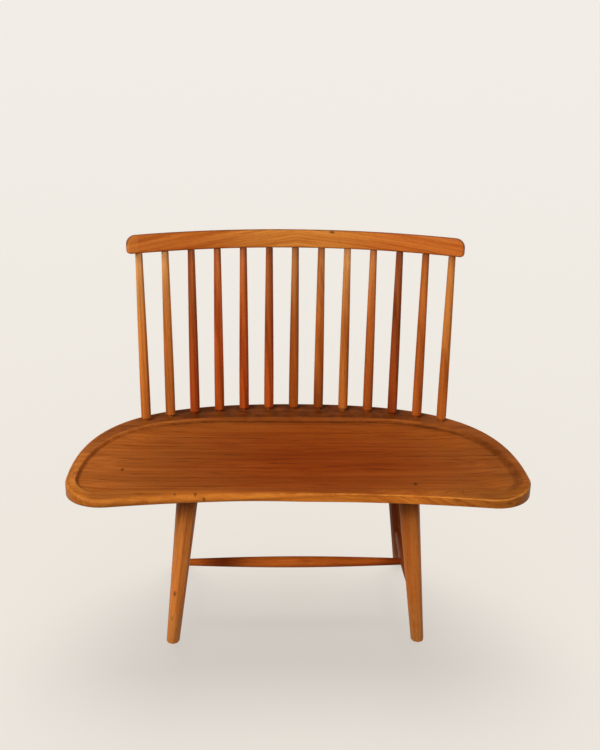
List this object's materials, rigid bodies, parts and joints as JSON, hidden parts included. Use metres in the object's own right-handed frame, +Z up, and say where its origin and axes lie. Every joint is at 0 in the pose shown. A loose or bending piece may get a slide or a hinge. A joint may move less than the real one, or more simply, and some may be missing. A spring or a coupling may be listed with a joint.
{
  "type": "spindle-back bench",
  "caption": "Stationary two-seat bench with a dished kidney-shaped plank seat, splayed faceted legs, crossed stretchers and a spindle back under a bent crest rail.",
  "frame": {"origin": "on the floor, under the centre of the bench's bounding box", "axes": "+X to the right along the seat as seen from the front, +Y to the back, +Z up"},
  "size_m": [1.042, 0.576, 0.8863],
  "materials": {
    "seat_wood": "satin clear coat over reddish-brown hardwood with fine grain",
    "crest_wood": "satin clear coat over orange-brown hardwood",
    "spindle_wood_light": "satin clear coat over orange-brown hardwood",
    "spindle_wood_dark": "satin clear coat over reddish-brown hardwood",
    "leg_wood": "satin clear coat over orange-brown hardwood",
    "stretcher_wood": "satin clear coat over reddish-brown hardwood"
  },
  "bodies": {
    "root": {"seat": "seat_wood", "crest_rail": "crest_wood", "spindle_01": "spindle_wood_light", "spindle_02": "spindle_wood_light", "spindle_03": "spindle_wood_dark", "spindle_04": "spindle_wood_dark", "spindle_05": "spindle_wood_dark", "spindle_06": "spindle_wood_dark", "spindle_07": "spindle_wood_light", "spindle_08": "spindle_wood_light", "spindle_09": "spindle_wood_light", "spindle_10": "spindle_wood_light", "spindle_11": "spindle_wood_dark", "spindle_12": "spindle_wood_light", "spindle_13": "spindle_wood_light", "leg_front_left": "leg_wood", "leg_front_right": "leg_wood", "leg_rear_left": "leg_wood", "leg_rear_right": "leg_wood", "side_stretcher_left": "stretcher_wood", "side_stretcher_right": "stretcher_wood", "medial_stretcher": "stretcher_wood"}
  },
  "joints": []
}
